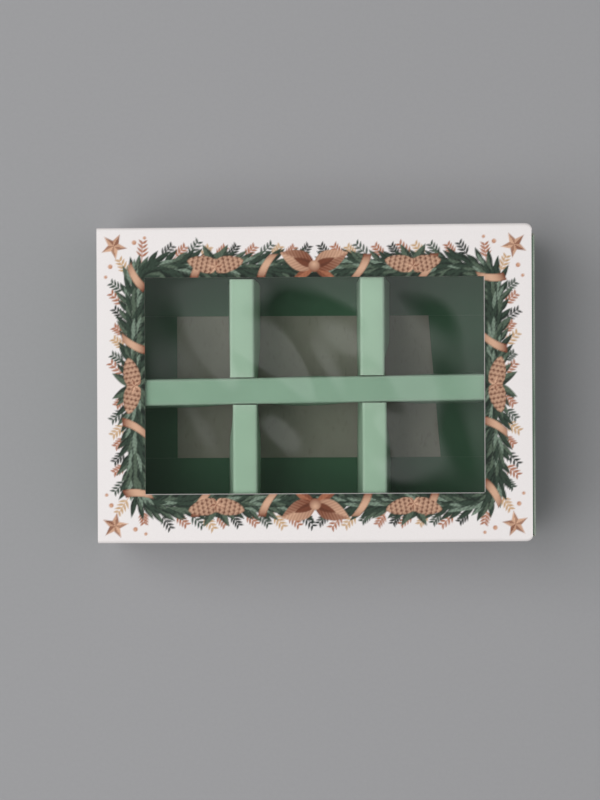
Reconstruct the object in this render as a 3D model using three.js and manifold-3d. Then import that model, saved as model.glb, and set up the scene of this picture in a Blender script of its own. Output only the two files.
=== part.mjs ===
// A candy box: a printed board sleeve with a film window, and a divided tray that slides out of it.
// Millimetres. +X runs along the sleeve, the way the tray slides, +Y to the back and +Z up.
// The origin is under the middle of the sleeve's bottom panel.
import * as THREE from "three";
import { mergeVertices } from "three/addons/utils/BufferGeometryUtils.js";
import Module from "manifold-3d";

const wasm = await Module();
wasm.setup();

// Sleeve: one sheet folded into a tube, open at both short ends.
const SLEEVE_LENGTH = 136.5;
const SLEEVE_WIDTH = 98.5;
const SLEEVE_HEIGHT = 38.6;
const SLEEVE_BOARD = 0.45; // thickness of the sheet
const SLEEVE_FOLD = 0.5; // radius inside a fold
const SEAM_FLAP = 14; // height of the glue flap inside the back panel
const SEAM_GLUE = 0.1; // glue line between that flap and the panel
const SEAM_EDGE = 0.3; // the back panel's cut edge stops this far above the bottom
const WINDOW_BORDER = 15; // panel left standing round the window

// Window film, glued under the top panel.
const FILM_THICKNESS = 0.15;
const FILM_GLUE = 0.1; // glue line between the film and the panel
const FILM_INSET = 6.5; // from the panel's edges to the film's edges

// Tray: one sheet whose four walls roll over into hollow rims and end in flaps on the floor.
const TRAY_BOARD = 0.45;
const TRAY_FOLD = 0.5;
const TRAY_PROUD = 0.5; // how far each end stands out of the sleeve
const SLIDE_CLEARANCE = 0.3; // from the tray to the sleeve, its seam flap and the film
const RIM_WIDTH = 10.5; // from the outer face to the inner face of a hollow wall
const FLOOR_FLAP = 14; // from the inner wall to the free edge of its flap
const LAYER_GAP = 0.2; // air between the flaps and the base
const MITRE_SLIT = 0.4; // cut between neighbouring rims and flaps at each corner
const CORNER_TAB = 9; // tab of each end wall, glued inside the long wall

// Dividers: three upside-down channels that slot into one another.
const DIVIDER_BOARD = 0.45;
const DIVIDER_FOLD = 0.5;
const DIVIDER_WIDTH = 8.2;
const DIVIDER_PITCH = 40.7; // between the two cross dividers
const DIVIDER_DROP = 0.3; // from the tray's rim down to the dividers' tops
const SEAT_GAP = 0.2; // under the dividers' feet
const LAP_CLEARANCE = 0.3; // round each divider in its neighbour's slot
const END_GAP = 0.3; // between a divider's end and the wall it lies against
const INSERT_PLAY_X = 4; // room left at the other ends, because the set lies in one corner
const INSERT_PLAY_Y = 3;

// Fineness of the mesh.
const FOLD_STEPS = 4; // straight steps in a quarter turn
const MERGE_DISTANCE = 1e-4; // points closer than this are one point
const CUT_MARGIN = 1; // how far a cutting block runs past what it cuts

// Heights, from the floor of the sleeve upwards.
const filmTop = SLEEVE_HEIGHT - SLEEVE_BOARD - FILM_GLUE;
const filmBottom = filmTop - FILM_THICKNESS;
const trayBottom = SLEEVE_BOARD + SLIDE_CLEARANCE;
const flapBottom = trayBottom + TRAY_BOARD + LAYER_GAP;
const flapTop = flapBottom + TRAY_BOARD;
const rimTop = filmBottom - SLIDE_CLEARANCE;
const dividerFoot = flapTop + SEAT_GAP;
const dividerTop = rimTop - DIVIDER_DROP;
const lapHeight = (dividerFoot + dividerTop) / 2;

// Plan of the tray inside the sleeve, and of the well inside the tray.
const seamLayer = SEAM_GLUE + SLEEVE_BOARD;
const trayLength = SLEEVE_LENGTH + 2 * TRAY_PROUD;
const trayWidth = SLEEVE_WIDTH - 2 * (SLEEVE_BOARD + seamLayer + SLIDE_CLEARANCE);
const wellLength = trayLength - 2 * RIM_WIDTH;
const wellWidth = trayWidth - 2 * RIM_WIDTH;

// Plan of the divider set, which lies against the left and front walls of the well.
const longLength = wellLength - 2 * END_GAP - INSERT_PLAY_X;
const crossLength = wellWidth - 2 * END_GAP - INSERT_PLAY_Y;
const insertX = -INSERT_PLAY_X / 2;
const insertY = -INSERT_PLAY_Y / 2;
const crossPlaces = [insertX - DIVIDER_PITCH / 2, insertX + DIVIDER_PITCH / 2];

const xAxis = new THREE.Vector3(1, 0, 0);
const yAxis = new THREE.Vector3(0, 1, 0);
const zAxis = new THREE.Vector3(0, 0, 1);
const sectionToX = new THREE.Matrix4().makeBasis(yAxis, zAxis, xAxis);
const QUARTER_TURN = Math.PI / 2;

function toSolid(geometry) {
  const bare = geometry.clone();
  bare.deleteAttribute("normal");
  bare.deleteAttribute("uv");
  const merged = mergeVertices(bare, MERGE_DISTANCE);
  return new wasm.Manifold(
    new wasm.Mesh({
      numProp: 3,
      vertProperties: new Float32Array(merged.attributes.position.array),
      triVerts: new Uint32Array(merged.index.array),
    }),
  );
}

function toGeometry(solid) {
  const mesh = solid.getMesh();
  const geometry = new THREE.BufferGeometry();
  geometry.setAttribute("position", new THREE.BufferAttribute(mesh.vertProperties, 3));
  geometry.setIndex(new THREE.BufferAttribute(mesh.triVerts, 1));
  geometry.computeVertexNormals();
  return geometry;
}

// A block between two opposite corners.
function block(low, high) {
  const size = high.map((value, i) => value - low[i]);
  const middle = high.map((value, i) => (value + low[i]) / 2);
  return new THREE.BoxGeometry(...size).translate(...middle);
}

// The outline of a sheet folded along a path of square corners, with the sheet's middle on the path.
function foldedStrip(corners, thickness, insideRadius) {
  const half = thickness / 2;
  const bend = insideRadius + half;
  const path = corners.map(([u, v]) => new THREE.Vector2(u, v));
  const leftFace = [];
  const rightFace = [];
  const addPair = (point, normal, left, right) => {
    leftFace.push(point.clone().addScaledVector(normal, left));
    rightFace.push(point.clone().addScaledVector(normal, right));
  };
  path.forEach((corner, i) => {
    const before = i > 0 && corner.clone().sub(path[i - 1]).normalize();
    const after = i < path.length - 1 && path[i + 1].clone().sub(corner).normalize();
    if (!before || !after) {
      const along = before || after;
      addPair(corner, new THREE.Vector2(-along.y, along.x), half, -half);
      return;
    }
    const turn = Math.sign(before.cross(after));
    const centre = corner.clone().addScaledVector(before, -bend).addScaledVector(after, bend);
    for (let step = 0; step <= FOLD_STEPS; step++) {
      const angle = (QUARTER_TURN * step) / FOLD_STEPS;
      const spoke = after.clone().multiplyScalar(-Math.cos(angle));
      spoke.addScaledVector(before, Math.sin(angle));
      addPair(centre, spoke, bend - turn * half, bend + turn * half);
    }
  });
  return new THREE.Shape([...leftFace, ...rightFace.reverse()]);
}

// A section drawn in Y and Z, run along X with its middle at the origin.
function runAlongX(section, length) {
  const geometry = new THREE.ExtrudeGeometry(section, { depth: length, bevelEnabled: false });
  return geometry.translate(0, 0, -length / 2).applyMatrix4(sectionToX);
}

function sleeveGeometry() {
  const half = SLEEVE_BOARD / 2;
  const side = SLEEVE_WIDTH / 2 - half;
  const bottom = half;
  const top = SLEEVE_HEIGHT - half;
  const flap = side - seamLayer;
  const section = foldedStrip(
    [
      [flap, SEAM_FLAP],
      [flap, bottom],
      [-side, bottom],
      [-side, top],
      [side, top],
      [side, SEAM_EDGE],
    ],
    SLEEVE_BOARD,
    SLEEVE_FOLD,
  );
  const windowX = SLEEVE_LENGTH / 2 - WINDOW_BORDER;
  const windowY = SLEEVE_WIDTH / 2 - WINDOW_BORDER;
  const windowCut = block(
    [-windowX, -windowY, filmTop],
    [windowX, windowY, SLEEVE_HEIGHT + CUT_MARGIN],
  );
  return toGeometry(toSolid(runAlongX(section, SLEEVE_LENGTH)).subtract(toSolid(windowCut)));
}

function filmGeometry() {
  const filmX = SLEEVE_LENGTH / 2 - FILM_INSET;
  const filmY = SLEEVE_WIDTH / 2 - FILM_INSET;
  return block([-filmX, -filmY, filmBottom], [filmX, filmY, filmTop]);
}

// One side of the tray before it is turned to its place: its outer face is at -reach in Y.
function traySide(length, reach) {
  const half = TRAY_BOARD / 2;
  const section = foldedStrip(
    [
      [-reach + RIM_WIDTH, trayBottom + half],
      [-reach + half, trayBottom + half],
      [-reach + half, rimTop - half],
      [-reach + RIM_WIDTH - half, rimTop - half],
      [-reach + RIM_WIDTH - half, flapBottom + half],
      [-reach + RIM_WIDTH + FLOOR_FLAP, flapBottom + half],
    ],
    TRAY_BOARD,
    TRAY_FOLD,
  );
  const depth = RIM_WIDTH + FLOOR_FLAP + CUT_MARGIN;
  const outer = length / 2 + MITRE_SLIT / 2;
  const inner = outer - depth;
  const mitre = new THREE.Shape([
    new THREE.Vector2(-outer, -reach),
    new THREE.Vector2(outer, -reach),
    new THREE.Vector2(inner, -reach + depth),
    new THREE.Vector2(-inner, -reach + depth),
  ]);
  const room = new THREE.ExtrudeGeometry(mitre, {
    depth: SLEEVE_HEIGHT,
    bevelEnabled: false,
  });
  return toSolid(runAlongX(section, length)).intersect(toSolid(room));
}

function trayBase() {
  const inset = TRAY_FOLD + TRAY_BOARD;
  const x = trayLength / 2 - inset;
  const y = trayWidth / 2 - inset;
  return toSolid(block([-x, -y, trayBottom], [x, y, trayBottom + TRAY_BOARD]));
}

// A corner is named by the signs of its X and Y.
const corners = [
  [1, 1],
  [-1, 1],
  [-1, -1],
  [1, -1],
];

function cornerTab([signX, signY]) {
  const half = TRAY_BOARD / 2;
  const endX = signX * (trayLength / 2 - half);
  const tipX = endX - signX * CORNER_TAB;
  const outerY = signY * (trayWidth / 2 - half);
  const innerY = signY * (trayWidth / 2 - 2 * TRAY_BOARD);
  const low = [Math.min(endX, tipX), Math.min(outerY, innerY), flapTop];
  const high = [Math.max(endX, tipX), Math.max(outerY, innerY), rimTop - TRAY_BOARD - TRAY_FOLD];
  return toSolid(block(low, high));
}

// The cut on a corner's diagonal that parts the two rims, inner walls and flaps that meet there.
function cornerSlit([signX, signY]) {
  const from = 2 * TRAY_BOARD + MITRE_SLIT;
  const to = RIM_WIDTH + FLOOR_FLAP + CUT_MARGIN;
  const length = (to - from) * Math.SQRT2;
  const bottom = flapBottom - LAYER_GAP / 2;
  const height = rimTop + CUT_MARGIN - bottom;
  const middle = (from + to) / 2;
  const slit = new THREE.BoxGeometry(length, MITRE_SLIT, height);
  slit.rotateZ((signX * signY * QUARTER_TURN) / 2);
  slit.translate(
    signX * (trayLength / 2 - middle),
    signY * (trayWidth / 2 - middle),
    bottom + height / 2,
  );
  return toSolid(slit);
}

function trayGeometry() {
  let tray = trayBase();
  for (let turn = 0; turn < corners.length; turn++) {
    const isEnd = turn % 2 === 1;
    const side = isEnd
      ? traySide(trayWidth, trayLength / 2)
      : traySide(trayLength, trayWidth / 2);
    const turned = toGeometry(side).rotateZ(turn * QUARTER_TURN);
    tray = tray.add(toSolid(turned));
  }
  for (const corner of corners) {
    tray = tray.add(cornerTab(corner)).subtract(cornerSlit(corner));
  }
  return toGeometry(tray);
}

// An upside-down channel along X, with its middle at the origin in plan.
function channel(length) {
  const half = DIVIDER_BOARD / 2;
  const side = DIVIDER_WIDTH / 2 - half;
  const section = foldedStrip(
    [
      [-side, dividerFoot],
      [-side, dividerTop - half],
      [side, dividerTop - half],
      [side, dividerFoot],
    ],
    DIVIDER_BOARD,
    DIVIDER_FOLD,
  );
  return runAlongX(section, length);
}

// Slotted from below for each wall of each cross divider.
function longDividerGeometry() {
  let divider = toSolid(channel(longLength));
  const wallOffset = DIVIDER_WIDTH / 2 - DIVIDER_BOARD / 2;
  const slotHalf = DIVIDER_BOARD / 2 + LAP_CLEARANCE;
  for (const place of crossPlaces) {
    for (const side of [-1, 1]) {
      const x = place - insertX + side * wallOffset;
      const slot = block(
        [x - slotHalf, -DIVIDER_WIDTH, dividerFoot - CUT_MARGIN],
        [x + slotHalf, DIVIDER_WIDTH, lapHeight + LAP_CLEARANCE / 2],
      );
      divider = divider.subtract(toSolid(slot));
    }
  }
  return toGeometry(divider);
}

// Notched from above, so that the long divider lies across it.
function crossDividerGeometry() {
  const notchHalf = DIVIDER_WIDTH / 2 + LAP_CLEARANCE;
  const notch = block(
    [-DIVIDER_WIDTH, -notchHalf, lapHeight - LAP_CLEARANCE / 2],
    [DIVIDER_WIDTH, notchHalf, dividerTop + CUT_MARGIN],
  );
  const turned = channel(crossLength).rotateZ(QUARTER_TURN);
  return toGeometry(toSolid(turned).subtract(toSolid(notch)));
}

const whiteBoard = new THREE.MeshStandardMaterial({ color: 0xece7e5, roughness: 0.55, metalness: 0 });
const darkGreenBoard = new THREE.MeshStandardMaterial({ color: 0x456b50, roughness: 0.7, metalness: 0 });
const sageBoard = new THREE.MeshStandardMaterial({ color: 0x9ebca2, roughness: 0.7, metalness: 0 });
const clearFilm = new THREE.MeshStandardMaterial({
  color: 0xf4f6f5,
  roughness: 0.1,
  metalness: 0,
  transparent: true,
  opacity: 0.2,
});

function piece(name, geometry, material) {
  const mesh = new THREE.Mesh(geometry, material);
  mesh.name = name;
  return mesh;
}

function dividerSet() {
  const set = new THREE.Group();
  const longDivider = piece("long_divider", longDividerGeometry(), sageBoard);
  longDivider.position.set(insertX, insertY, 0);
  set.add(longDivider);
  const names = ["cross_divider_left", "cross_divider_right"];
  names.forEach((name, i) => {
    const divider = piece(name, crossDividerGeometry(), sageBoard);
    divider.position.set(crossPlaces[i], insertY, 0);
    set.add(divider);
  });
  return set;
}

const candyBox = new THREE.Group();
candyBox.add(
  piece("sleeve", sleeveGeometry(), whiteBoard),
  piece("window_film", filmGeometry(), clearFilm),
  piece("tray", trayGeometry(), darkGreenBoard),
  dividerSet(),
);

export default candyBox;
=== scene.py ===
"""Looks of a sleeve-and-tray candy box, in folded sheets of board and film of real thickness."""
import math

import bpy
import numpy as np
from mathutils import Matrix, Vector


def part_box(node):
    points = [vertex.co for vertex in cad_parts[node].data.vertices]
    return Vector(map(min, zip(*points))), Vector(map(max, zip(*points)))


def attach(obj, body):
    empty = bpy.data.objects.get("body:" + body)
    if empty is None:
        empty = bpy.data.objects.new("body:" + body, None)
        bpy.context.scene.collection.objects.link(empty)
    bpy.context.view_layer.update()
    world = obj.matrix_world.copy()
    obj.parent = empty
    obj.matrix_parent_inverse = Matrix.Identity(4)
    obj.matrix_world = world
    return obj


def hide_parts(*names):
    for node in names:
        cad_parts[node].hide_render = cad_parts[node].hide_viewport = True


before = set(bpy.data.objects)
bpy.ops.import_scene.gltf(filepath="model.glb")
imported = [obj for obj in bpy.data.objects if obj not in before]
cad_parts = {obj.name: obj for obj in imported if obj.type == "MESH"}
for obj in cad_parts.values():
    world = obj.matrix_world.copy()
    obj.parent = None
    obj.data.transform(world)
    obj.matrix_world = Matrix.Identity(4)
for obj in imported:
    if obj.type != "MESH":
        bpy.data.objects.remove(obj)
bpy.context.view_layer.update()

MM = 0.001  # lengths below are in millimetres


def cad_box(node):
    """Lowest and highest corner of a CAD node, in millimetres."""
    low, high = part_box(node)
    return np.array(low) / MM, np.array(high) / MM


SLEEVE_LOW, SLEEVE_HIGH = cad_box("sleeve")
FILM_LOW, FILM_HIGH = cad_box("window_film")
TRAY_LOW, TRAY_HIGH = cad_box("tray")
LONG_LOW, LONG_HIGH = cad_box("long_divider")
CROSS_BOXES = {name: cad_box(name) for name in ("cross_divider_left", "cross_divider_right")}

# Board and folds
BOARD = 0.45
FOLD_RADIUS = 0.72  # to the middle of the sheet
FOLD_STEPS = 6
NO_FOLD = 0.99  # cosine of a turn that is too small for a fold
SPACING = 3.0  # between grid lines on plain stretches
EDGE_BAND = 0.4  # width of the worn strip along a cut edge
SHARP_ANGLE = 40.0  # degrees, edges that turn further aren't shaded smooth

# Sleeve
WINDOW_BORDER = (15.0, 15.3)  # at the ends, and at the front and back
SEAM_FLAP = 14.0
SEAM_GLUE = 0.1
SEAM_EDGE = 0.3  # height of the back panel's cut edge
BACK_BULGE = 2.05  # the back panel leans and bows out, most at the right end
BACK_LEAST = 0.3  # share of it at the left end
BACK_LEAN = 0.5  # share of it by which the panel's upper fold stands out
FRONT_BULGE = 0.85  # the front panel bows out most in the middle
FRONT_LEAST = 0.4  # share of it at both ends
BULGE_SHOULDER = 0.4  # the lower, the fuller the bowed panels are next to their folds
SOFT_END = 2.0  # length at the right end over which the panels draw in again
SOFT_STEPS = (1, 0.75, 0.5, 0.3)  # grid lines there, as shares of that length
CORNER_TUCK = 0.6  # how far the front right corner of the top panel is pushed in
CORNER_WEAR = 0.65  # how far the right end is worn back next to the front fold
CORNER_SPAN = 1.3  # width of the stretch along that fold that is worn
PANEL_WAVE = 0.12  # unevenness of the top panel

# Print on the top panel
PRINT_SEED = 11
PRINT_PITCH = 0.3
PRINT_LIFT = 0.03
PRINT_THICKNESS = 0.03

# Film
FILM_SEED = 239758
FILM_SPACING = 1.0
FILM_TINT = (0.985, 0.99, 0.985, 1.0)
FILM_MIRROR = 0.07  # share of light that each face mirrors, seen square on
FILM_WAVES = (15, 18, 21, 25, 29, 34, 40, 47)  # lengths of the waves in the film
FILM_WAVE = 0.0033  # height of a wave as a share of its length
FILM_LIFT = 0.25  # the film swells out of the window a little

# Tray
RIM_WIDTH = 10.5
FLOOR_FLAP = 14.0
# How much longer the front, right, back and left flap is, at its two corners in turn
FLAP_EXTRA = ((0, 0), (3.05, 6.9), (0, 0), (-1.7, -1.7))
LAYER_GAP = 0.2
MITRE_GAP = 0.2
CORNER_RADIUS = 0.9
BASE_INSET = 1.6  # where the walls' sheets take over from the base's
FLAP_ROOT = 1.0  # a flap is as wide as its wall up to here
FLAP_SHOULDER = 0.3
FLAP_GAP = 0.02  # between neighbouring flaps
TRAY_SHIFT = (0.7, -0.25, 0.0)  # the tray stands out more at the right
WALL_BOW = 0.6  # how far the inner walls bow into the room
WALL_BLEND = 0.5  # how far round their folds the bow reaches
WALL_WAVE = 0.15  # unevenness of the bow
WALL_WAVE_SPAN = 9.0
WALL_END = 0.015  # share of half a wall's length, at either end, with closer grid lines
WALL_END_STEPS = (0, 0.25, 0.5, 0.75)  # grid lines there, as shares of that stretch

# Dividers
LAP_CLEARANCE = 0.2
CUT_PAST = 1.0  # how far a slot's shape reaches past the edge that it is cut from
LONG_TRIM = 1.5  # the long divider ends short of the tray's left wall
CROSS_TRIM = 0.5  # so do the cross dividers at the front and the back
CROSS_WIDTH = 7.7
LONG_TURN = 0.7  # degrees, the long divider doesn't sit quite square
# How far the tops of a cross divider's front and back halves lean to the right
CROSS_LEAN = {"cross_divider_left": (0.45, -0.45), "cross_divider_right": (0.47, -0.13)}
SPLAY_REACH = 18.0  # distance from a crossing at which the walls are fully splayed
LONG_SPLAY = (0.7, 0.9)  # how far the feet stand out, at the back and the front
CROSS_SPLAY = {"cross_divider_left": (1.9, 0.8), "cross_divider_right": (0.2, 3.0)}  # left and right

WINDOW_X, WINDOW_Y = SLEEVE_HIGH[:2] - WINDOW_BORDER

# Material slots of a sheet
FACE, BACK, CUT = 0, 1, 2
ALL_FACE = (FACE, FACE, FACE)  # of a sheet in one material


def smooth_step(low, high, value):
    share = np.clip((value - low) / (high - low), 0, 1)
    return share * share * (3 - 2 * share)


def stations(keys, spacing):
    """Positions that hold every key in turn, no further apart than spacing."""
    places = [keys[0]]
    for low, high in zip(keys, keys[1:]):
        steps = max(1, math.ceil((high - low) / spacing - 1e-6))
        places.extend(low + (high - low) * np.arange(1, steps + 1) / steps)
    return np.array(places)


def unit(vector):
    return vector / np.linalg.norm(vector)


def fold_path(corners):
    """Points along a path with folds at its square corners, and how near each is to a fold's ridge."""
    corners = [np.array(corner, float) for corner in corners]
    corners.insert(1, corners[0] + EDGE_BAND * unit(corners[1] - corners[0]))
    corners.insert(-1, corners[-1] + EDGE_BAND * unit(corners[-2] - corners[-1]))
    points = [corners[0]]
    crease = [0.0]

    def run_to(end):
        start = points[-1]
        steps = max(1, math.ceil(np.linalg.norm(end - start) / SPACING))
        for step in range(1, steps + 1):
            points.append(start + (end - start) * step / steps)
            crease.append(0.0)

    for before, corner, after in zip(corners, corners[1:], corners[2:]):
        arrive = unit(corner - before)
        leave = unit(after - corner)
        if arrive @ leave > NO_FOLD:
            run_to(corner)
            continue
        run_to(corner - arrive * FOLD_RADIUS)
        centre = corner + (leave - arrive) * FOLD_RADIUS
        is_ridge = arrive[0] * leave[1] > arrive[1] * leave[0]
        for step in range(1, FOLD_STEPS + 1):
            angle = math.pi / 2 * step / FOLD_STEPS
            spoke = arrive * math.sin(angle) - leave * math.cos(angle)
            points.append(centre + FOLD_RADIUS * spoke)
            crease.append(math.sin(2 * angle) if is_ridge else 0.0)
    run_to(corners[-1])
    return np.array(points), np.array(crease)


class SheetMesh:
    """Collects thick sheets, each given as a grid of points on its middle, into one closed mesh."""

    def __init__(self):
        self.points = []
        self.faces = []
        self.slots = []
        self.crease = []
        self.edge = []
        self.count = 0

    def add(self, middle, thickness, crease=0.0, cut=None, slots=(FACE, BACK, CUT)):
        """Adds a sheet. crease is the wear on its folds, and cut marks the cells that are left out."""
        rows, columns = middle.shape[:2]
        normal = np.cross(np.gradient(middle, axis=0), np.gradient(middle, axis=1))
        normal /= np.linalg.norm(normal, axis=2, keepdims=True)
        kept = np.ones((rows - 1, columns - 1), bool) if cut is None else ~cut
        around = np.pad(kept, 1)
        front = self.count + np.arange(rows * columns).reshape(rows, columns)
        back = front + rows * columns
        i, j = np.nonzero(kept)
        corners = [(i, j), (i + 1, j), (i + 1, j + 1), (i, j + 1)]
        edge = np.zeros((rows, columns))
        self.take([front[c] for c in corners], slots[FACE])
        self.take([back[c] for c in reversed(corners)], slots[BACK])
        for side, (di, dj) in enumerate(((0, -1), (1, 0), (0, 1), (-1, 0))):
            open_side = ~around[i + 1 + di, j + 1 + dj]
            first = tuple(index[open_side] for index in corners[side])
            second = tuple(index[open_side] for index in corners[(side + 1) % 4])
            self.take([front[second], front[first], back[first], back[second]], slots[CUT])
            edge[first] = 1
            edge[second] = 1
        half = normal * thickness / 2
        self.points += [(middle + half).reshape(-1, 3), (middle - half).reshape(-1, 3)]
        weights = np.broadcast_to(crease, (rows, columns)).ravel()
        self.crease += [weights, weights]
        self.edge += [edge.ravel(), edge.ravel()]
        self.count += 2 * rows * columns

    def take(self, corners, slot):
        quads = np.stack(corners, 1)
        self.faces.append(quads)
        self.slots.append(np.full(len(quads), slot))

    def build(self, name, materials, ink=None):
        """The object, without the points that only cut cells had. ink colours its one sheet."""
        faces = np.concatenate(self.faces)
        used, faces = np.unique(faces, return_inverse=True)
        points = np.concatenate(self.points)[used] * MM
        mesh = bpy.data.meshes.new(name)
        mesh.from_pydata(points.tolist(), [], faces.reshape(-1, 4).tolist())
        mesh.polygons.foreach_set("material_index", np.concatenate(self.slots).astype(np.int32))
        for label, parts in (("crease", self.crease), ("edge", self.edge)):
            weights = np.concatenate(parts)[used].astype(np.float32)
            mesh.attributes.new(label, "FLOAT", "POINT").data.foreach_set("value", weights)
        if ink is not None:
            colours = np.ones((self.count, 4), np.float32)
            colours[:, :3] = np.tile(ink.reshape(-1, 3), (2, 1))
            layer = mesh.color_attributes.new("ink", "FLOAT_COLOR", "POINT")
            layer.data.foreach_set("color", colours[used].ravel())
        for material in materials:
            mesh.materials.append(material)
        mesh.shade_smooth()
        mesh.set_sharp_from_angle(angle=math.radians(SHARP_ANGLE))
        piece = bpy.data.objects.new(name, mesh)
        bpy.context.scene.collection.objects.link(piece)
        return piece


# Materials


def linear(red, green, blue):
    """A display colour with parts from 0 to 255 as a linear one."""
    parts = np.array((red, green, blue)) / 255
    return np.where(parts <= 0.04045, parts / 12.92, ((parts + 0.055) / 1.055) ** 2.4)


def rgba(colour):
    return (*(float(part) for part in colour), 1.0)


PAPER_WHITE = linear(238, 233, 232)
WHITE_CRACK = linear(224, 218, 215)
DARK_GREEN = linear(72, 111, 84)
GREEN_CRACK = linear(214, 221, 210)
SAGE = linear(172, 203, 178)
# the same sage ink made darker for the long divider: painted shade on its top
SAGE_WITH_PAINTED_SHADE = linear(152, 185, 161)
SAGE_CRACK = linear(214, 222, 212)
RAW_GREY = linear(162, 159, 147)
RAW_DARK = linear(110, 105, 95)
RAW_LIGHT = linear(180, 176, 164)
CUT_GREY = linear(206, 201, 192)
FLOOR_GREY = linear(156, 156, 158)
PAPER_SHEEN = 0.3
COATED = 0.47  # roughness of the coated white paper
GLOSS_SPREAD = 0.07  # by which the roughness of a coating varies
NOISE_SPAN = (0.3, 0.7)  # where nearly all values of a noise lie


def add(tree, kind, settings=None, **inputs):
    """A shader node with some settings, and inputs that are values or other nodes' sockets."""
    node = tree.nodes.new("ShaderNode" + kind)
    for name, value in (settings or {}).items():
        setattr(node, name, value)
    for name, value in inputs.items():
        connect(tree, value, node.inputs[name.replace("_", " ")])
    return node


def connect(tree, value, socket):
    if isinstance(value, bpy.types.NodeSocket):
        tree.links.new(value, socket)
    else:
        socket.default_value = value


def mix(tree, share, first, second, blend="MIX"):
    node = add(tree, "Mix", {"data_type": "RGBA", "blend_type": blend})
    for index, value in ((0, share), (6, first), (7, second)):
        connect(tree, value, node.inputs[index])
    return node.outputs[2]


def noise(tree, size, detail=3.0, stretch=None):
    """Noise whose features measure about size millimetres."""
    where = add(tree, "TexCoord").outputs["Object"]
    if stretch:
        where = add(tree, "Mapping", Vector=where, Scale=stretch).outputs[0]
    return add(tree, "TexNoise", Vector=where, Scale=1 / (size * MM), Detail=detail).outputs["Fac"]


def ranged(tree, value, out, span=NOISE_SPAN):
    """A value whose span is stretched to another range, and held at the range's ends."""
    limits = {"From_Min": span[0], "From_Max": span[1], "To_Min": out[0], "To_Max": out[1]}
    return add(tree, "MapRange", Value=value, **limits).outputs[0]


def times(tree, first, second):
    node = add(tree, "Math", {"operation": "MULTIPLY"})
    connect(tree, first, node.inputs[0])
    connect(tree, second, node.inputs[1])
    return node.outputs[0]


def weight(tree, label):
    return add(tree, "Attribute", {"attribute_name": label}).outputs["Fac"]


def new_material(name):
    material = bpy.data.materials.new(name)
    material.use_nodes = True
    tree = material.node_tree
    return material, tree, tree.nodes["Principled BSDF"]


def surface(tree, shader, colour, roughness, height, depth):
    """Joins colour, roughness and a bump of some depth in millimetres to the shader."""
    shader.inputs["Specular IOR Level"].default_value = PAPER_SHEEN
    tree.links.new(colour, shader.inputs["Base Color"])
    tree.links.new(roughness, shader.inputs["Roughness"])
    bump = add(tree, "Bump", Height=height, Distance=depth * MM)
    tree.links.new(bump.outputs[0], shader.inputs["Normal"])


def coated_gloss(tree, roughness):
    """Roughness of a coating, a little uneven."""
    out = (roughness - GLOSS_SPREAD, roughness + GLOSS_SPREAD)
    return ranged(tree, noise(tree, size=3), out, span=(0.25, 0.75))


def worn(tree, colour, crack, on_folds, on_edges):
    """A printed colour that gives way to the paper under it along folds and cut edges."""
    flecks = ranged(tree, noise(tree, size=0.5, detail=4.0), (0.75, 1), span=(0.4, 0.6))
    stretches = ranged(tree, noise(tree, size=28, detail=2.0), (0.5, 1), span=(0.35, 0.6))
    chips = ranged(tree, noise(tree, size=1.4), (0.1, 0.9))
    on_fold = times(tree, weight(tree, "crease"), times(tree, flecks, stretches))
    on_edge = times(tree, weight(tree, "edge"), chips)
    folded = mix(tree, times(tree, on_fold, on_folds), colour, rgba(crack))
    return mix(tree, times(tree, on_edge, on_edges), folded, rgba(crack))


def printed_board(name, colour, crack, roughness, cloudy=0.06, on_folds=0.6, on_edges=0.3):
    """Coated board printed in one colour, with its wear on folds and cut edges."""
    material, tree, shader = new_material(name)
    cloud = ranged(tree, noise(tree, size=22, detail=4.0), (0, 1))
    grain = noise(tree, size=0.35, detail=5.0)
    tone = mix(tree, cloud, rgba(colour * (1 - cloudy)), rgba(colour * (1 + cloudy)))
    tone = mix(tree, ranged(tree, grain, (0, 0.12)), tone, rgba(colour * 0.8))
    tone = worn(tree, tone, crack, on_folds, on_edges)
    surface(tree, shader, tone, coated_gloss(tree, roughness), grain, depth=0.004)
    return material


def raw_board(name):
    """The unprinted grey back of the board, with pale and dark fibres."""
    material, tree, shader = new_material(name)
    cloud = ranged(tree, noise(tree, size=14, detail=4.0), (0, 1))
    tone = mix(tree, cloud, rgba(RAW_GREY * 0.92), rgba(RAW_GREY * 1.06))
    dark = noise(tree, size=0.9, detail=6.0, stretch=(1, 0.35, 1))
    tone = mix(tree, ranged(tree, dark, (0, 0.25), span=(0.58, 0.72)), tone, rgba(RAW_DARK))
    pale = noise(tree, size=0.7, detail=6.0, stretch=(0.4, 1, 1))
    tone = mix(tree, ranged(tree, pale, (0, 0.25), span=(0.6, 0.72)), tone, rgba(RAW_LIGHT))
    fibre = noise(tree, size=0.5, detail=6.0)
    surface(tree, shader, tone, ranged(tree, fibre, (0.82, 0.96)), fibre, depth=0.03)
    return material


def cut_board(name):
    """The sheet's cut edge, grey with a ragged grain."""
    material, tree, shader = new_material(name)
    grain = noise(tree, size=0.25, detail=5.0)
    tone = ranged(tree, grain, (0, 1), span=(0.35, 0.65))
    tone = mix(tree, tone, rgba(CUT_GREY * 0.8), rgba(CUT_GREY * 1.05))
    surface(tree, shader, tone, ranged(tree, grain, (0.75, 0.95)), grain, depth=0.02)
    return material


def ink_on_board(name):
    """The printed design, from the colours painted on the sheet's points."""
    material, tree, shader = new_material(name)
    ink = add(tree, "Attribute", {"attribute_name": "ink"}).outputs["Color"]
    grain = noise(tree, size=0.35, detail=5.0)
    tone = mix(tree, ranged(tree, grain, (0, 0.1)), ink, rgba(PAPER_WHITE * 0.8), "MULTIPLY")
    surface(tree, shader, tone, coated_gloss(tree, COATED), grain, depth=0.004)
    return material


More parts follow.
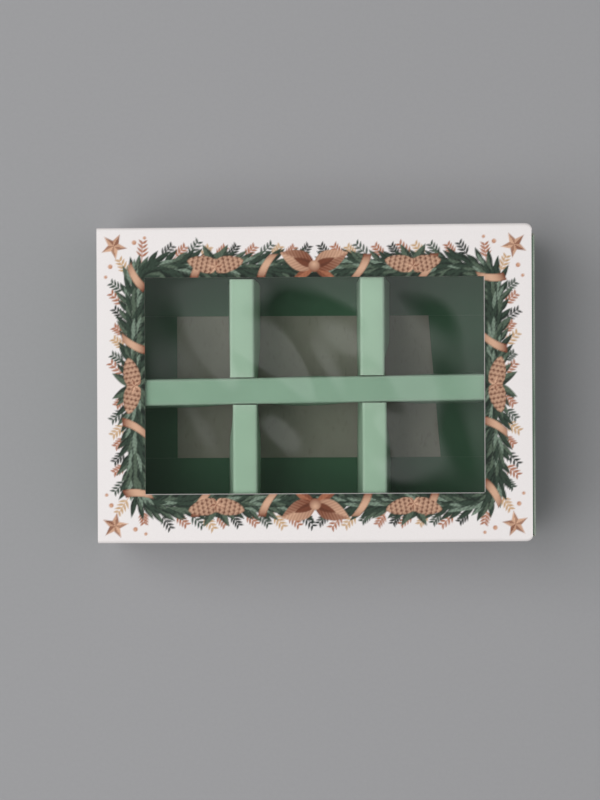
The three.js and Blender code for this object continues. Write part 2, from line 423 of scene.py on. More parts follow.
def clear_film(name):
    """Thin clear film: it passes light straight through and mirrors a little of it."""
    material, tree, shader = new_material(name)
    tree.nodes.remove(shader)
    clear = add(tree, "BsdfTransparent", Color=FILM_TINT)
    haze = ranged(tree, noise(tree, size=9), (0.01, 0.03))
    mirror = add(tree, "BsdfGlossy", Roughness=haze)
    slant = add(tree, "LayerWeight").outputs["Facing"]
    squared = times(tree, slant, slant)
    steep = times(tree, times(tree, squared, squared), slant)
    both = add(tree, "MixShader", Fac=ranged(tree, steep, (FILM_MIRROR, 1), span=(0, 1)))
    tree.links.new(clear.outputs[0], both.inputs[1])
    tree.links.new(mirror.outputs[0], both.inputs[2])
    tree.links.new(both.outputs[0], tree.nodes["Material Output"].inputs["Surface"])
    return material


WHITE_BOARD = printed_board("white_board", PAPER_WHITE, WHITE_CRACK, COATED, cloudy=0.015)
GREEN_BOARD = printed_board("dark_green_board", DARK_GREEN, GREEN_CRACK, 0.55, on_folds=1.0, on_edges=0.02)
SAGE_BOARD = printed_board("sage_board", SAGE, SAGE_CRACK, 0.5, on_folds=0.2)
# the long divider's board is the darker copy of the sage, painted shade
SAGE_BOARD_WITH_PAINTED_SHADE = printed_board("sage_board_with_painted_shade", SAGE_WITH_PAINTED_SHADE, SAGE_CRACK, 0.5, on_folds=0.2)
RAW_BOARD = raw_board("raw_grey_board")
CUT_BOARD = cut_board("cut_board_edge")
INK = ink_on_board("printed_design")
FILM = clear_film("clear_film")


# Printed design, a garland round the window that is mirrored about both axes


PINE = linear(28, 37, 31)
FOREST = linear(58, 75, 62)
MOSS = linear(98, 115, 97)
MIST = linear(140, 160, 142)
COPPER_DEEP = linear(120, 68, 48)
COPPER = linear(178, 116, 86)
COPPER_PALE = linear(216, 174, 146)
GOLD = linear(208, 170, 128)
BARE_EDGE = PAPER_WHITE * 0.6  # shows where the window was cut a little off the print

# The garland's middle line, from the middle of the right side round the corner to that of the back
LINE_OFFSET = 3.4  # outward from the window's edge
LINE_X = WINDOW_X + LINE_OFFSET
LINE_Y = WINDOW_Y + LINE_OFFSET
LINE_CORNER = 7.0
LINE_LENGTH = LINE_X + LINE_Y - (2 - math.pi / 2) * LINE_CORNER

# Laurel leaves along the line
LEAF_STEP = 2.6
LEAF_LENGTH = 5.8
LEAF_WIDTH = 1.8
LEAF_SHIFT = 0.7  # how far a leaf strays along the line
LEAF_TILT = 7.0  # degrees by which it strays from its row's angle
LEAF_GROWTH = 0.15  # share by which its length varies
LEAF_ROWS = ((1.3, 40), (-1.3, -40), (0.6, 18), (-0.6, -18), (0, 0))  # offset and angle to the line's left
OUTER_ROWS = 2  # how many of the rows, from the first, leave out the palest tones
LEAF_TONES = ((PINE, FOREST), (PINE, FOREST), (PINE, MOSS), (PINE, MIST))
VEIN_PITCH = 1.3
SHADE_WIDTH = 3.2  # of the dark ground along the window's edge

# Ribbon wound round the garland
BAND_STEP = 21.0
BAND_START = 12.6
BAND_STOP = 8.0  # before the end of the line
BAND_WIDTH = 2.6
BAND_REACH = 3.8  # to either side of the line
BAND_SLANT = 0.55
BAND_CURVE = 0.05

# Sprigs that lean out of the garland
SPRIG_STEP = 4.4
SPRIG_START = 2.5
SPRIG_STOP = 4.0  # before the end of the line
SPRIG_FOOT = -2.0  # offset from the line
SPRIG_LEAN = 52.0  # degrees to the right of the line
SPRIG_SWAY = 8.0  # degrees by which that varies
SPRIG_LENGTH = 5.8
SPRIG_GROWTH = 1.2  # by which that varies
SPRIG_STEM = 0.16  # half the width of the stem
SPRIG_BEND = 0.05
SPRIG_LEAVES = (0.35, 0.55, 0.75, 0.95)  # where pairs of leaves sit, as shares of the length
SPRIG_LEAF_ANGLE = 48.0  # degrees from the stem
SPRIG_LEAF_WIDTH = 0.7
SPRIG_TONES = (COPPER, FOREST, GOLD, COPPER, PINE)

# Stars and dots in the corners
STAR_INSET = 5.4
STAR_RADIUS = 4.2
STAR_POINTS = 5
STAR_NOTCH = 0.42  # radius between two points, as a share of the star's
CORNER_DOTS = ((-80, 6.5, 0.7), (170, 6.5, 0.7), (-75, 10, 0.5), (165, 10, 0.5))  # bearing, distance, radius

# Cones in pairs, each pair with two leaves and a star. Angles are from the outward direction, in degrees
CONE_PLACE = 31.0  # from the middle of the long sides
CONE_ANGLE = 78.0
CONE_SIZE = (9.0, 5.2)  # length and width, here and below
CONE_ROWS = 6
CONE_COLUMNS = 4
CONE_LEAF_ANGLE = 30.0
CONE_LEAF_SIZE = (8.0, 2.8)
CONE_STAR = 2.6

# Bows in the middle of the long sides
BOW_TAIL_ANGLE = 125.0
BOW_TAIL_SIZE = (9.5, 2.6)
BOW_LOOP_ANGLE = 68.0
BOW_LOOP_SIZE = (11.5, 6.4)
BOW_INSIDE_SIZE = (7.0, 2.4)
BOW_KNOT = 1.8


class Canvas:
    """Ink on a grid of points, laid on from the lowest layer up. Lengths are in millimetres."""

    def __init__(self, xs, ys):
        self.xs = xs
        self.ys = ys
        self.ink = np.ones((len(xs), len(ys), 3)) * PAPER_WHITE

    def patch(self, x, y, angle, reach):
        """The ink within reach of a place, and where its points lie along and across a direction."""
        i = slice(*np.searchsorted(self.xs, (x - reach, x + reach)))
        j = slice(*np.searchsorted(self.ys, (y - reach, y + reach)))
        right = self.xs[i, None] - x
        up = self.ys[None, j] - y
        along = right * math.cos(angle) + up * math.sin(angle)
        across = up * math.cos(angle) - right * math.sin(angle)
        return self.ink[i, j], along, across


def lay(ink, colour, inside, opacity=1.0):
    """Covers the points that lie inside a shape; inside is their depth within its outline."""
    cover = opacity * np.clip(0.5 + inside / PRINT_PITCH, 0, 1)[..., None]
    ink += (colour - ink) * cover


def toned(dark, light, tone):
    return dark + (light - dark) * np.clip(tone, 0, 1)[..., None]


def leaf(canvas, x, y, angle, length, width, dark, light):
    """A pointed leaf with a pale rib, one half lighter than the other."""
    ink, along, across = canvas.patch(x, y, angle, length)
    share = np.clip(along / length, 0, 1)
    half = width / 2 * np.sin(np.pi * share ** 0.75) ** 0.9
    inside = np.minimum(half - np.abs(across), np.minimum(along, length - along))
    rib_width = 0.05 * width + 0.1
    rib = np.exp(-((across / rib_width) ** 2)) * (1 - share)
    vein = 0.12 * np.sin(2 * np.pi * (along - 1.1 * np.abs(across)) / VEIN_PITCH)
    lit_half = 0.24 * np.sign(across) * smooth_step(0, 0.4, np.abs(across))
    tone = 0.2 + 0.4 * share + lit_half + vein + 0.7 * rib
    lay(ink, toned(dark, light, tone), inside)


def dot(canvas, x, y, angle, radius, dark, light):
    """A shaded dot, lightest towards an angle."""
    ink, along, across = canvas.patch(x, y, angle, 1.4 * radius)
    glow = 1 - np.hypot(along - 0.4 * radius, across) / (1.5 * radius)
    lay(ink, toned(dark, light, glow), radius - np.hypot(along, across))


def star(canvas, x, y, angle, radius):
    """A faceted star, one of its points towards an angle."""
    ink, along, across = canvas.patch(x, y, angle, 1.1 * radius)
    sector = 2 * math.pi / STAR_POINTS
    around = np.arctan2(across, along)
    bearing = (around + sector / 2) % sector - sector / 2
    tip = np.array((radius, 0.0))
    notch = STAR_NOTCH * radius * np.array((math.cos(sector / 2), math.sin(sector / 2)))
    outward = unit(np.array((notch[1], radius - notch[0])))
    reach = np.hypot(along, across)
    inside = outward @ tip - reach * (np.cos(bearing) * outward[0] + np.abs(np.sin(bearing)) * outward[1])
    tone = np.where(bearing > 0, 0.85, 0.3) + 0.15 * np.cos(around - 2)
    lay(ink, toned(COPPER_DEEP, COPPER_PALE, tone), inside)


def ribbon_band(canvas, x, y, angle, width, half_reach):
    """A ribbon that crosses a garland on the slant, shaded as if it went round."""
    ink, along, across = canvas.patch(x, y, angle, 2 * half_reach)
    slanted = along - BAND_SLANT * across - BAND_CURVE * across ** 2
    bound = half_reach - np.abs(across)
    tone = 0.95 - 0.8 * (across / half_reach - 0.15) ** 2 - 0.25 * (np.abs(slanted) > 0.36 * width)
    lay(ink, toned(COPPER_DEEP, COPPER_PALE, tone), np.minimum(width / 2 - np.abs(slanted), bound))


def cone(canvas, x, y, angle, length, width):
    """A cone with rows of scales."""
    ink, along, across = canvas.patch(x, y, angle, length)
    share = np.clip(along / length, 0, 1)
    half = width / 2 * np.sin(np.pi * (0.12 + 0.88 * share) ** 0.8) ** 0.6
    row = CONE_ROWS * share
    column = CONE_COLUMNS * across / width + 0.5 * (np.floor(row) % 2)
    scale = row % 1 + 0.9 * np.abs(column % 1 - 0.5)
    tone = 0.9 - 1.1 * np.abs(scale - 0.55) - 0.3 * np.abs(across) / width
    inside = np.minimum(half - np.abs(across), np.minimum(along, length - along))
    lay(ink, toned(COPPER_DEEP * 0.6, COPPER_PALE, tone), inside)


def sprig(canvas, x, y, angle, length, colour):
    """A thin bent stem with slim leaves in pairs."""
    ink, along, across = canvas.patch(x, y, angle, length)
    bent = across - SPRIG_BEND * along ** 2 / length
    inside = np.minimum(SPRIG_STEM - np.abs(bent), np.minimum(along, length - along))
    lay(ink, colour, inside, opacity=0.9)
    for share in SPRIG_LEAVES:
        base_x = x + share * length * math.cos(angle)
        base_y = y + share * length * math.sin(angle)
        leaf_length = 1.5 + 0.2 * length * (1.2 - share)
        for side in (-1, 1):
            bearing = angle + side * math.radians(SPRIG_LEAF_ANGLE)
            leaf(canvas, base_x, base_y, bearing, leaf_length, SPRIG_LEAF_WIDTH, colour * 0.8, colour)


def on_line(reach, offset=0.0):
    """Place and heading at some distance along the garland, moved to the left by offset."""
    straight = LINE_Y - LINE_CORNER
    bend = LINE_CORNER * math.pi / 2
    turn = np.clip((reach - straight) / bend, 0, 1) * math.pi / 2
    x = LINE_X - LINE_CORNER + LINE_CORNER * math.cos(turn) - max(0, reach - straight - bend)
    y = min(reach, straight) + LINE_CORNER * math.sin(turn)
    return x - offset * math.cos(turn), y - offset * math.sin(turn), math.pi / 2 + turn


def laurel(place, dice):
    """Leaves that point along the line, each over the foot of the next."""
    for step in reversed(range(int(LINE_LENGTH / LEAF_STEP))):
        for row, (offset, spread) in enumerate(LEAF_ROWS):
            shift, tilt, growth = dice.uniform(-1, 1, 3)
            x, y, heading = on_line(step * LEAF_STEP + LEAF_SHIFT * shift, offset)
            bearing = heading + math.radians(spread + LEAF_TILT * tilt)
            choices = len(LEAF_TONES) - 1 if row < OUTER_ROWS else len(LEAF_TONES)
            tones = LEAF_TONES[dice.integers(choices)]
            place(leaf, x, y, bearing, LEAF_LENGTH * (1 + LEAF_GROWTH * growth), LEAF_WIDTH, *tones)


def fringe(place, dice):
    """Sprigs that lean out of the garland into the white border."""
    for step, reach in enumerate(np.arange(SPRIG_START, LINE_LENGTH - SPRIG_STOP, SPRIG_STEP)):
        x, y, heading = on_line(reach, SPRIG_FOOT)
        sway, growth = dice.uniform(-1, 1, 2)
        bearing = heading - math.radians(SPRIG_LEAN + SPRIG_SWAY * sway)
        length = SPRIG_LENGTH + SPRIG_GROWTH * growth
        place(sprig, x, y, bearing, length, SPRIG_TONES[step % len(SPRIG_TONES)])


def ribbons(place):
    for reach in np.arange(BAND_START, LINE_LENGTH - BAND_STOP, BAND_STEP):
        place(ribbon_band, *on_line(reach), BAND_WIDTH, BAND_REACH)


def corner_star(place):
    """A star and a few dots in the white corner."""
    x, y = SLEEVE_HIGH[:2] - STAR_INSET
    slant = math.pi / 4
    place(star, x, y, slant, STAR_RADIUS)
    for bearing, reach, radius in CORNER_DOTS:
        dot_x = x + reach * math.cos(math.radians(bearing))
        dot_y = y + reach * math.sin(math.radians(bearing))
        place(dot, dot_x, dot_y, slant, radius, COPPER, COPPER_PALE)


def bow(place, x, y, outward):
    """A ribbon bow: two tails, two loops and a knot."""
    for side in (-1, 1):
        tail = outward + side * math.radians(BOW_TAIL_ANGLE)
        loop = outward + side * math.radians(BOW_LOOP_ANGLE)
        place(leaf, x, y, tail, *BOW_TAIL_SIZE, COPPER_DEEP, COPPER)
        place(leaf, x, y, loop, *BOW_LOOP_SIZE, COPPER_DEEP, COPPER_PALE)
        place(leaf, x, y, loop, *BOW_INSIDE_SIZE, COPPER_DEEP * 0.6, COPPER_DEEP)
    place(dot, x, y, outward, BOW_KNOT, COPPER_DEEP, COPPER_PALE)


def cone_pair(place, x, y, outward):
    for side in (-1, 1):
        place(leaf, x, y, outward + side * math.radians(CONE_LEAF_ANGLE), *CONE_LEAF_SIZE, PINE, MOSS)
        place(cone, x, y, outward + side * math.radians(CONE_ANGLE), *CONE_SIZE)
    place(star, x, y, outward, CONE_STAR)


def mirrored(canvas, sign_x, sign_y):
    """A way of placing a motif of the first quarter in one of the four quarters."""

    def place(motif, x, y, angle, *rest):
        seen = math.atan2(sign_y * math.sin(angle), sign_x * math.cos(angle))
        motif(canvas, sign_x * x, sign_y * y, seen, *rest)

    return place


def paint_design(canvas):
    dice = np.random.default_rng(PRINT_SEED)
    quarters = [mirrored(canvas, sign_x, sign_y) for sign_x in (1, -1) for sign_y in (1, -1)]
    outside = np.maximum(np.abs(canvas.xs[:, None]) - WINDOW_X, np.abs(canvas.ys) - WINDOW_Y)
    lay(canvas.ink, PINE, SHADE_WIDTH - outside)
    for place in quarters:
        fringe(place, dice)
    for place in quarters:
        laurel(place, dice)
        ribbons(place)
        corner_star(place)
        cone_pair(place, CONE_PLACE, LINE_Y, math.pi / 2)
    for place in quarters[:2]:
        bow(place, 0, LINE_Y, math.pi / 2)
    for place in quarters[::2]:
        cone_pair(place, LINE_X, 0, 0)
    beside_x = (np.abs(canvas.xs - WINDOW_X) < PRINT_PITCH / 2)[:, None] & (np.abs(canvas.ys) < WINDOW_Y)
    beside_y = (np.abs(canvas.xs) < WINDOW_X)[:, None] & (np.abs(canvas.ys + WINDOW_Y) < PRINT_PITCH / 2)
    canvas.ink[beside_x | beside_y] = BARE_EDGE


# Pieces


def panel_wave(x, y):
    """Height of the top panel's unevenness, none along its folds."""
    ease = np.clip(1 - (y / SLEEVE_HIGH[1]) ** 6, 0, 1)
    swell = np.sin(x / 31 + 0.6) * np.cos(y / 23 - 0.4) + 0.6 * np.sin(x / 17 - y / 29 + 2)
    return PANEL_WAVE * ease * swell


def rounding(place, end, length):
    """Grows from nothing to one in a quarter circle over some length before an end."""
    return 1 - np.sqrt(1 - np.clip((place - end) / length + 1, 0, 1) ** 2)


def corner_tuck(x, y):
    """How far the top panel and its front fold are pushed back at the front right corner."""
    at_end = rounding(x, SLEEVE_HIGH[0], SOFT_END)
    return CORNER_TUCK * at_end * smooth_step(WINDOW_Y + EDGE_BAND, SLEEVE_HIGH[1], -y)


def grid_of(path, xs):
    """A sheet's middle that follows a path in Y and Z and runs along X."""
    middle = np.zeros((len(path), len(xs), 3))
    middle[..., 0] = xs
    middle[..., 1] = path[:, :1]
    middle[..., 2] = path[:, 1:]
    return middle


def flat_grid(xs, ys, z):
    middle = np.zeros((len(xs), len(ys), 3))
    middle[..., 0] = xs[:, None]
    middle[..., 1] = ys
    middle[..., 2] = z
    return middle


def centres(values):
    return (values[1:] + values[:-1]) / 2


def with_edges(low, high, *inner):
    """Grid keys for a stretch with cut ends, and for cuts inside it with their worn strips."""
    return [low, low + EDGE_BAND, *inner, high - EDGE_BAND, high]


def bent_sleeve(middle, side, top, flap):
    """The sleeve's grid with its panels bowed out, its right end drawn in and one corner worn."""
    half = BOARD / 2
    right_end = SLEEVE_HIGH[0]
    x, y, z = middle.transpose(2, 0, 1)
    rise = np.clip(z / top, 0, 1)
    bow_out = np.sin(np.pi * rise) ** BULGE_SHOULDER
    lean_out = rise * smooth_step(WINDOW_Y + EDGE_BAND, side - FOLD_RADIUS, y)
    draw_in = 1 - rounding(x, right_end, SOFT_END)
    at_back = BACK_LEAST + (1 - BACK_LEAST) * smooth_step(SLEEVE_LOW[0], right_end, x)
    at_front = FRONT_LEAST + (1 - FRONT_LEAST) * np.cos(np.pi / 2 * x / right_end)
    back_share = BACK_LEAN * lean_out + (1 - BACK_LEAN) * bow_out * (y > flap - half)
    y_moved = y + BACK_BULGE * at_back * draw_in * back_share
    y_moved -= FRONT_BULGE * at_front * draw_in * bow_out * (y < -side + half)
    y_moved += corner_tuck(x, y) * rise
    at_end = smooth_step(right_end - SOFT_END, right_end, x)
    x_moved = x - CORNER_WEAR * rounding(-y, side, CORNER_SPAN) * at_end
    z_moved = z + np.where(z > top - half, panel_wave(x, y_moved), 0)
    return np.stack([x_moved, y_moved, z_moved], axis=2)


def make_sleeve():
    """The folded board, from the back panel's lower edge over the top and round to the seam flap."""
    half = BOARD / 2
    side = SLEEVE_HIGH[1] - half
    top = SLEEVE_HIGH[2] - half
    flap = side - BOARD - SEAM_GLUE
    rim_y = WINDOW_Y + EDGE_BAND
    rim_x = WINDOW_X + EDGE_BAND
    path, crease = fold_path([
        (side, SEAM_EDGE),
        (side, top),
        (rim_y, top),
        (WINDOW_Y, top),
        (-WINDOW_Y, top),
        (-rim_y, top),
        (-side, top),
        (-side, half),
        (flap, half),
        (flap, SEAM_FLAP),
    ])
    right_end = SLEEVE_HIGH[0]
    soft = [right_end - SOFT_END * share for share in SOFT_STEPS]
    keys = with_edges(SLEEVE_LOW[0], right_end, -rim_x, -WINDOW_X, WINDOW_X, rim_x, *soft)
    xs = stations(keys, SPACING)
    middle = bent_sleeve(grid_of(path, xs), side, top, flap)
    on_top = centres(path[:, 1]) > top - half
    in_y = on_top & (np.abs(centres(path[:, 0])) < WINDOW_Y)
    in_x = np.abs(centres(xs)) < WINDOW_X
    sheet = SheetMesh()
    sheet.add(middle, BOARD, crease[:, None], in_y[:, None] & in_x)
    return sheet.build("sleeve_board", [WHITE_BOARD, RAW_BOARD, CUT_BOARD])


def make_print():
    """The printed face of the top panel, a thin layer that carries the design."""
    end_x = SLEEVE_HIGH[0]
    end_y = SLEEVE_HIGH[1] - BOARD / 2 - FOLD_RADIUS
    xs = stations([-end_x, -WINDOW_X, WINDOW_X, end_x], PRINT_PITCH)
    ys = stations([-end_y, -WINDOW_Y, WINDOW_Y, end_y], PRINT_PITCH)
    canvas = Canvas(xs, ys)
    paint_design(canvas)
    height = SLEEVE_HIGH[2] + PRINT_LIFT + panel_wave(xs[:, None], ys)
    window = (np.abs(centres(xs)) < WINDOW_X)[:, None] & (np.abs(centres(ys)) < WINDOW_Y)
    middle = flat_grid(xs, ys, height)
    middle[..., 1] += corner_tuck(xs[:, None], ys)
    sheet = SheetMesh()
    sheet.add(middle, PRINT_THICKNESS, cut=window, slots=ALL_FACE)
    return sheet.build("sleeve_print", [INK], canvas.ink)


def make_film():
    """The film, flat where it is glued round the window and free to wave in its middle."""
    xs = stations([FILM_LOW[0], -WINDOW_X, WINDOW_X, FILM_HIGH[0]], FILM_SPACING)
    ys = stations([FILM_LOW[1], -WINDOW_Y, WINDOW_Y, FILM_HIGH[1]], FILM_SPACING)
    x, y = xs[:, None], ys[None, :]
    dice = np.random.default_rng(FILM_SEED)
    waves = np.zeros((len(xs), len(ys)))
    for length in FILM_WAVES:
        bearing, phase = dice.uniform(0, 2 * math.pi, 2)
        along = x * math.cos(bearing) + y * math.sin(bearing)
        waves += FILM_WAVE * length * np.sin(2 * math.pi / length * along + phase)
    free = np.clip(1 - (x / WINDOW_X) ** 4, 0, 1) ** 2 * np.clip(1 - (y / WINDOW_Y) ** 4, 0, 1) ** 2
    thickness = FILM_HIGH[2] - FILM_LOW[2]
    level = (FILM_HIGH[2] + FILM_LOW[2]) / 2
    height = level + (1 - free) * panel_wave(x, y) + free * (waves + FILM_LIFT)
    sheet = SheetMesh()
    sheet.add(flat_grid(xs, ys, height), thickness, slots=ALL_FACE)
    return sheet.build("film_sheet", [FILM])


def turned(middle, quarter_turns):
    """A grid turned about the vertical axis."""
    angle = quarter_turns * math.pi / 2
    c, s = round(math.cos(angle)), round(math.sin(angle))
    spun = middle.copy()
    spun[..., 0] = c * middle[..., 0] - s * middle[..., 1]
    spun[..., 1] = s * middle[..., 0] + c * middle[..., 1]
    return spun


def tray_side(length, reach, flap_half, flap_extra, phase):
    """A wall of the tray with its outer face at -reach in Y, rolled over its rim down to a floor flap."""
    half = BOARD / 2
    bottom = TRAY_LOW[2] + half
    top = TRAY_HIGH[2] - half
    flap = bottom + BOARD + LAYER_GAP
    inner = RIM_WIDTH - half
    root = RIM_WIDTH + FLAP_ROOT
    path, crease = fold_path([
        (RIM_WIDTH + FLOOR_FLAP, flap),
        (root, flap),
        (root - FLAP_SHOULDER, flap),
        (inner, flap),
        (inner, top),
        (half, top),
        (half, bottom),
        (BASE_INSET, bottom),
    ])
    inset, height = path[:, :1], path[:, 1:]
    end = 1 - WALL_END * np.array(WALL_END_STEPS)
    plain = stations([WALL_END - 1, 1 - WALL_END], 2 * SPACING / length)
    share = np.concatenate([-end, plain, end[::-1]])
    curl = CORNER_RADIUS * (1 - math.sqrt(0.5))
    mitred = length / 2 - np.maximum(inset + MITRE_GAP, half + curl)
    on_flap = np.clip((inset - root) / FLAP_SHOULDER + 1, 0, 1)
    along = share * (mitred + (flap_half - mitred) * on_flap)
    extra = flap_extra[0] + (flap_extra[1] - flap_extra[0]) * (share + 1) / 2
    longer = extra * np.clip((inset - root) / (RIM_WIDTH + FLOOR_FLAP - root), 0, 1)
    corner = np.clip(np.abs(along) - (length / 2 - half - CORNER_RADIUS), 0, CORNER_RADIUS)
    round_off = CORNER_RADIUS - np.sqrt(CORNER_RADIUS ** 2 - corner ** 2)
    on_outer_wall = np.clip(1 - (inset - half) / FOLD_RADIUS, 0, 1)
    on_inner_wall = np.exp(-((inset - inner) / WALL_BLEND) ** 2)
    climb = np.clip((height - bottom) / (top - bottom), 0, 1)
    bow_in = np.sin(np.pi * climb) * np.cos(np.pi / 2 * share) ** 2
    ripple = WALL_WAVE * np.sin(along / WALL_WAVE_SPAN + phase)
    middle = np.zeros((len(path), len(share), 3))
    middle[..., 0] = along
    middle[..., 1] = inset + longer - reach + round_off * on_outer_wall
    middle[..., 1] += on_inner_wall * bow_in * (WALL_BOW + ripple)
    middle[..., 2] = height
    return middle, crease


def make_tray():
    """The base and the four walls, from the front one round to the left."""
    length, width = (TRAY_HIGH - TRAY_LOW)[:2]
    sheet = SheetMesh()
    end_x = length / 2 - BASE_INSET
    end_y = width / 2 - BASE_INSET
    across = stations([-end_x, end_x], SPACING)
    base = flat_grid(across, stations([-end_y, end_y], SPACING), TRAY_LOW[2] + BOARD / 2)
    sheet.add(base + TRAY_SHIFT, BOARD, slots=(BACK, FACE, CUT))
    side_flap = length / 2 - RIM_WIDTH - FLAP_ROOT - FLAP_GAP
    end_flap = width / 2 - RIM_WIDTH - FLOOR_FLAP - FLAP_GAP
    for quarter, extra in enumerate(FLAP_EXTRA):
        size = (length, width / 2, side_flap) if quarter % 2 == 0 else (width, length / 2, end_flap)
        middle, crease = tray_side(*size, extra, quarter)
        sheet.add(turned(middle, quarter) + TRAY_SHIFT, BOARD, crease[:, None])
    return sheet.build("tray_board", [GREEN_BOARD, RAW_BOARD, CUT_BOARD])


def channel(length, width, foot, top, crossings, splay, cuts, lean=(0, 0)):
    """An upside-down channel along X with its middle at the origin.

    A cut is (low x, high x, low z, high z). The top of each half leans towards -Y by its share of lean.
    """
    half = BOARD / 2
    side = width / 2 - half
    levels = sorted({z for cut in cuts for z in cut[2:] if foot < z < top})
    path, crease = fold_path(
        [(side, foot)]
        + [(side, z) for z in levels]
        + [(side, top - half), (-side, top - half)]
        + [(-side, z) for z in reversed(levels)]
        + [(-side, foot)]
    )
    edges = sorted({x for cut in cuts for x in cut[:2]})
    xs = stations(with_edges(-length / 2, length / 2, *edges), SPACING)
    middle = grid_of(path, xs)
    clear = np.min([np.abs(xs - place) for place in crossings], axis=0)
    spread = smooth_step(width / 2, SPLAY_REACH, clear)
    drop = (top - middle[..., 2]) / (top - foot)
    stand_out = np.where(middle[..., 1] > 0, splay[0], -splay[1]) * (np.abs(middle[..., 1]) > side - half)
    middle[..., 1] += stand_out * spread * drop
    middle[..., 1] -= np.interp(xs, (-width / 2, width / 2), lean) * np.clip(1 - 2 * drop, 0, 1)
    z_cells = centres(path[:, 1])[:, None]
    x_cells = centres(xs)
    cut = np.zeros((len(path) - 1, len(xs) - 1), bool)
    for low_x, high_x, low_z, high_z in cuts:
        cut |= (x_cells > low_x) & (x_cells < high_x) & (z_cells > low_z) & (z_cells < high_z)
    return middle, crease, cut


def make_dividers():
    """The three dividers, each with the CAD node that it replaces."""
    foot, top = LONG_LOW[2], LONG_HIGH[2]
    lap = (foot + top) / 2
    long_low = LONG_LOW + (LONG_TRIM, 0, 0)
    length, width = (LONG_HIGH - long_low)[:2]
    middle = (long_low + LONG_HIGH) / 2 * (1, 1, 0)
    crossings = {node: (low[0] + high[0]) / 2 - middle[0] for node, (low, high) in CROSS_BOXES.items()}
    c, s = math.cos(math.radians(LONG_TURN)), math.sin(math.radians(LONG_TURN))
    spin = np.array(((c, s, 0), (-s, c, 0), (0, 0, 1)))
    pieces = []

    slot_half = BOARD / 2 + LAP_CLEARANCE
    wall = (CROSS_WIDTH - BOARD) / 2
    walls = [place + offset for place in crossings.values() for offset in (-wall, wall)]
    slots = [(x - slot_half, x + slot_half, foot - CUT_PAST, lap + LAP_CLEARANCE) for x in walls]
    grid, crease, cut = channel(length, width, foot, top, list(crossings.values()), LONG_SPLAY, slots)
    sheet = SheetMesh()
    sheet.add(grid @ spin + middle, BOARD, crease[:, None], cut)
    board = sheet.build("long_divider_board", [SAGE_BOARD_WITH_PAINTED_SHADE, RAW_BOARD, CUT_BOARD])
    pieces.append((board, "long_divider"))

    notch = width / 2 + LAP_CLEARANCE
    for node, (low, high) in CROSS_BOXES.items():
        notches = [(-notch, notch, lap, top + CUT_PAST)]
        length = high[1] - low[1] - 2 * CROSS_TRIM
        shape = (length, CROSS_WIDTH, foot, top, [0], CROSS_SPLAY[node], notches, CROSS_LEAN[node])
        grid, crease, cut = channel(*shape)
        place = np.array((crossings[node], 0, 0)) @ spin + middle
        sheet = SheetMesh()
        sheet.add(turned(grid, 1) + place, BOARD, crease[:, None], cut)
        board = sheet.build(node + "_board", [SAGE_BOARD, RAW_BOARD, CUT_BOARD])
        pieces.append((board, node))
    return pieces


# Assembly


def mount(piece, body, slot, *nodes):
    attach(piece, body)
    if nodes:
        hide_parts(*nodes)


mount(make_sleeve(), "sleeve", "printed_white_board", "sleeve")
mount(make_print(), "sleeve", "printed_white_board")
mount(make_film(), "sleeve", "clear_film", "window_film")
mount(make_tray(), "tray", "dark_green_board", "tray")
for divider, divider_node in make_dividers():
    mount(divider, "tray", "sage_board", divider_node)


# Stage, light and camera


CAMERA_HEIGHT = 650.0  # above the top panel
PIXELS_PER_MM = 3.187  # at the top panel, in an image of 600 by 800
IMAGE_HEIGHT = 800
AIM_X, AIM_Y = -4.63, -4.64  # what lies under the middle of the image
CAMERA_ROLL = -0.28  # degrees
SENSOR = 36.0
FLOOR_HALF = 6.0  # metres, as are the lamp's place and size
KEY_PLACE = (-1.17, 0.0, 1.62)
KEY_SIZE = (2.25, 1.95)
KEY_WATTS = 34.0
DARK_SPOT = (-0.02, -0.05, 1.0)  # where the ceiling is dark, nearly straight above
# Radiance of the room, by the cosine of the angle to the dark spot
ROOM_LIGHT = ((0.865, 0.37), (0.885, 0.9), (0.955, 0.9), (0.966, 0.46), (0.9943, 0.46), (0.9946, 0.06))


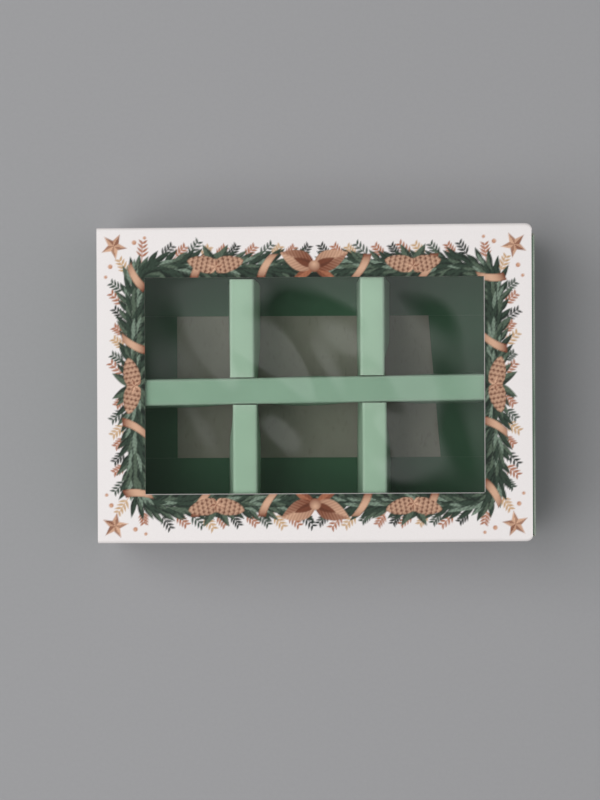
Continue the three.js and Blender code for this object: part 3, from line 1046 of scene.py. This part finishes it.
def make_floor():
    corners = [(FLOOR_HALF * x, FLOOR_HALF * y, 0) for x, y in ((-1, -1), (1, -1), (1, 1), (-1, 1))]
    mesh = bpy.data.meshes.new("floor")
    mesh.from_pydata(corners, [], [(0, 1, 2, 3)])
    material, tree, shader = new_material("pale_floor")
    grain = noise(tree, size=1.2, detail=4.0)
    tone = mix(tree, ranged(tree, grain, (0, 1)), rgba(FLOOR_GREY * 0.985), rgba(FLOOR_GREY * 1.015))
    surface(tree, shader, tone, ranged(tree, grain, (0.75, 0.85)), grain, depth=0.01)
    mesh.materials.append(material)
    floor = bpy.data.objects.new("floor", mesh)
    bpy.context.scene.collection.objects.link(floor)


def make_lamp():
    """A large soft lamp on the left."""
    lamp = bpy.data.lights.new("key_softbox", "AREA")
    lamp.shape = "RECTANGLE"
    lamp.size, lamp.size_y = KEY_SIZE
    lamp.energy = KEY_WATTS
    key = bpy.data.objects.new("key_softbox", lamp)
    key.location = KEY_PLACE
    key.rotation_euler = (-key.location).to_track_quat("-Z", "Y").to_euler()
    key.visible_glossy = False  # the film mirrors the room and not the lamp
    bpy.context.scene.collection.objects.link(key)


def make_room():
    """An even room with a ring of light round a dark spot, all of which the film mirrors."""
    world = bpy.data.worlds.new("studio")
    bpy.context.scene.world = world
    world.use_nodes = True
    tree = world.node_tree
    direction = add(tree, "TexCoord").outputs["Generated"]
    nearness = add(tree, "VectorMath", {"operation": "DOT_PRODUCT"}, Vector=direction)
    nearness.inputs[1].default_value = unit(np.array(DARK_SPOT))
    ramp = add(tree, "ValToRGB", Fac=nearness.outputs["Value"])
    stops = ramp.color_ramp.elements
    while len(stops) < len(ROOM_LIGHT):
        stops.new(0.5)
    for stop, (cosine, radiance) in zip(stops, ROOM_LIGHT):
        stop.position = cosine
        stop.color = (radiance, radiance, radiance, 1)
    tree.links.new(ramp.outputs[0], tree.nodes["Background"].inputs["Color"])


def make_camera():
    data = bpy.data.cameras.new("camera")
    data.sensor_width = SENSOR
    data.lens = SENSOR * CAMERA_HEIGHT * PIXELS_PER_MM / IMAGE_HEIGHT
    camera = bpy.data.objects.new("camera", data)
    camera.location = (AIM_X * MM, AIM_Y * MM, (SLEEVE_HIGH[2] + CAMERA_HEIGHT) * MM)
    camera.rotation_euler = (0, 0, math.radians(CAMERA_ROLL))
    bpy.context.scene.collection.objects.link(camera)
    bpy.context.scene.camera = camera


make_floor()
make_lamp()
make_room()
make_camera()
bpy.context.scene.view_settings.view_transform = "Standard"

bpy.context.view_layer.update()
